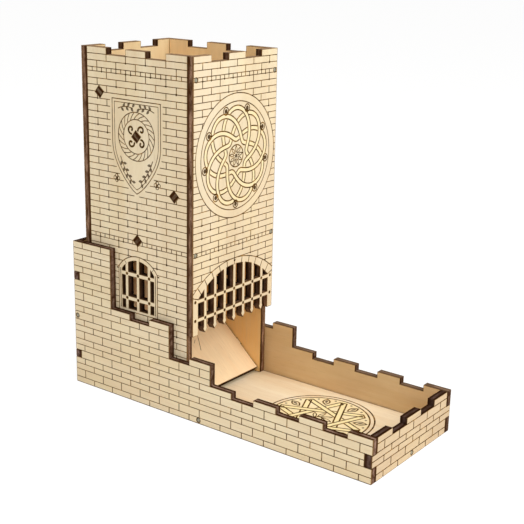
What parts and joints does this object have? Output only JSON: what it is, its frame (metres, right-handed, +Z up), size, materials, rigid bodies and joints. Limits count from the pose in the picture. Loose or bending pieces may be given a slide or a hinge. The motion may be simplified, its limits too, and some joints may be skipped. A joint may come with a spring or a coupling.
{
  "type": "dice tower",
  "caption": "Castle-shaped plywood dice tower: dice tumble over slanted baffles and roll out under a portcullis into a walled tray, and the tower lifts out.",
  "frame": {"origin": "under the middle of the tray, on the surface it stands on", "axes": "+Y runs along the tray from its open front end to the tower's back, +X across it, +Z up"},
  "size_m": [0.077, 0.196, 0.1889],
  "materials": {
    "plywood": "sanded pale plywood with laser-charred cut edges",
    "magnet": "dull nickel plate"
  },
  "bodies": {
    "tray": {"tray_floor": "plywood", "tray_left_wall": "plywood", "tray_right_wall": "plywood", "tray_front_wall": "plywood", "tray_rear_wall": "plywood", "floor_left_wall_magnet": "magnet", "floor_left_edge_magnet": "magnet", "floor_right_wall_magnet": "magnet", "floor_right_edge_magnet": "magnet", "floor_front_wall_magnet": "magnet", "floor_front_edge_magnet": "magnet", "floor_rear_wall_magnet": "magnet", "floor_rear_edge_magnet": "magnet", "rear_left_wall_magnet": "magnet", "rear_left_edge_magnet": "magnet", "rear_right_wall_magnet": "magnet", "rear_right_edge_magnet": "magnet"},
    "tower": {"tower_left_wall": "plywood", "tower_right_wall": "plywood", "tower_front_wall": "plywood", "tower_back_wall": "plywood", "upper_baffle": "plywood", "lower_baffle": "plywood", "exit_ramp": "plywood", "tower_front_left_low_wall_magnet": "magnet", "tower_front_left_low_edge_magnet": "magnet", "tower_front_left_high_wall_magnet": "magnet", "tower_front_left_high_edge_magnet": "magnet", "tower_front_right_low_wall_magnet": "magnet", "tower_front_right_low_edge_magnet": "magnet", "tower_front_right_high_wall_magnet": "magnet", "tower_front_right_high_edge_magnet": "magnet", "tower_back_left_low_wall_magnet": "magnet", "tower_back_left_low_edge_magnet": "magnet", "tower_back_left_high_wall_magnet": "magnet", "tower_back_left_high_edge_magnet": "magnet", "tower_back_right_low_wall_magnet": "magnet", "tower_back_right_low_edge_magnet": "magnet", "tower_back_right_high_wall_magnet": "magnet", "tower_back_right_high_edge_magnet": "magnet"}
  },
  "joints": [
    {"name": "tower_lift", "type": "slide", "parent": "tray", "child": "tower", "axis": [0, 0, 1], "range_m": [0, 0.085]}
  ]
}
